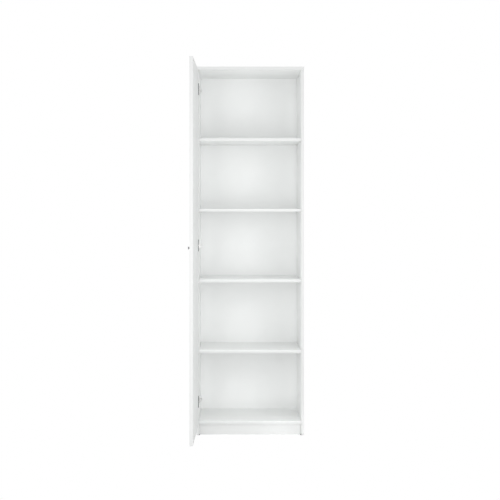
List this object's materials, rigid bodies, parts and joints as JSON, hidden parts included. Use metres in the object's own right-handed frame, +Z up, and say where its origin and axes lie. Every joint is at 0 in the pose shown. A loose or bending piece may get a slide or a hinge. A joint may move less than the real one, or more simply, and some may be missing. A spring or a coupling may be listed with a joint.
{
  "type": "cupboard",
  "caption": "Tall narrow white cupboard: a full-height door on concealed hinges, evenly spaced shelves, a top that covers the door's upper edge and a recessed plinth.",
  "frame": {"origin": "middle of the plinth's underside, on the floor and midway between the side panels", "axes": "+Z up, +X to the viewer's right as the front is faced, +Y from the door towards the back panel"},
  "size_m": [0.6274, 1.0031, 2.055],
  "materials": {
    "white_board": "satin",
    "white_hardboard": "satin",
    "nickel_plated_steel": "satin",
    "dark_nickel_steel": "satin",
    "zinc_plated_steel": "satin",
    "satin_grey_metal": "satin",
    "black_plastic": "matte",
    "milky_rubber": "satin",
    "beech_dowel": "matte"
  },
  "bodies": {
    "carcass": {"side_panel_left": "white_board", "side_panel_right": "white_board", "top_panel": "white_board", "bottom_panel": "white_board", "plinth": "white_board", "back_panel": "white_hardboard", "shelf_1": "white_board", "shelf_2": "white_board", "shelf_3": "white_board", "shelf_4": "white_board", "shelf_pin_1_front_left": "nickel_plated_steel", "shelf_pin_1_front_right": "nickel_plated_steel", "shelf_pin_1_rear_left": "nickel_plated_steel", "shelf_pin_1_rear_right": "nickel_plated_steel", "shelf_pin_2_front_left": "nickel_plated_steel", "shelf_pin_2_front_right": "nickel_plated_steel", "shelf_pin_2_rear_left": "nickel_plated_steel", "shelf_pin_2_rear_right": "nickel_plated_steel", "shelf_pin_3_front_left": "nickel_plated_steel", "shelf_pin_3_front_right": "nickel_plated_steel", "shelf_pin_3_rear_left": "nickel_plated_steel", "shelf_pin_3_rear_right": "nickel_plated_steel", "shelf_pin_4_front_left": "nickel_plated_steel", "shelf_pin_4_front_right": "nickel_plated_steel", "shelf_pin_4_rear_left": "nickel_plated_steel", "shelf_pin_4_rear_right": "nickel_plated_steel", "glide_front_left": "black_plastic", "glide_front_right": "black_plastic", "glide_rear_left": "black_plastic", "glide_rear_right": "black_plastic", "carcass_screw_top_front_left": "zinc_plated_steel", "carcass_screw_top_front_right": "zinc_plated_steel", "carcass_screw_top_rear_left": "zinc_plated_steel", "carcass_screw_top_rear_right": "zinc_plated_steel", "carcass_screw_bottom_front_left": "zinc_plated_steel", "carcass_screw_bottom_front_right": "zinc_plated_steel", "carcass_screw_bottom_rear_left": "zinc_plated_steel", "carcass_screw_bottom_rear_right": "zinc_plated_steel", "plinth_dowel_left": "beech_dowel", "plinth_dowel_right": "beech_dowel", "hinge_lower_arm": "nickel_plated_steel", "hinge_lower_plate": "nickel_plated_steel", "hinge_lower_screw": "zinc_plated_steel", "hinge_middle_arm": "nickel_plated_steel", "hinge_middle_plate": "nickel_plated_steel", "hinge_middle_screw": "zinc_plated_steel", "hinge_upper_arm": "nickel_plated_steel", "hinge_upper_plate": "nickel_plated_steel", "hinge_upper_screw": "zinc_plated_steel"},
    "door": {"door": "white_board", "knob": "satin_grey_metal", "knob_screw": "zinc_plated_steel", "door_bumper_lower": "milky_rubber", "door_bumper_upper": "milky_rubber", "hinge_lower_cup": "dark_nickel_steel", "hinge_lower_pin": "zinc_plated_steel", "hinge_middle_cup": "dark_nickel_steel", "hinge_middle_pin": "zinc_plated_steel", "hinge_upper_cup": "dark_nickel_steel", "hinge_upper_pin": "zinc_plated_steel"}
  },
  "joints": [
    {"name": "door_hinge", "type": "hinge", "parent": "carcass", "child": "door", "pos_m": [-0.2928, -0.0506, 1.049], "axis": [0, 0, 1], "range_deg": [-3.7, 91.3]}
  ]
}
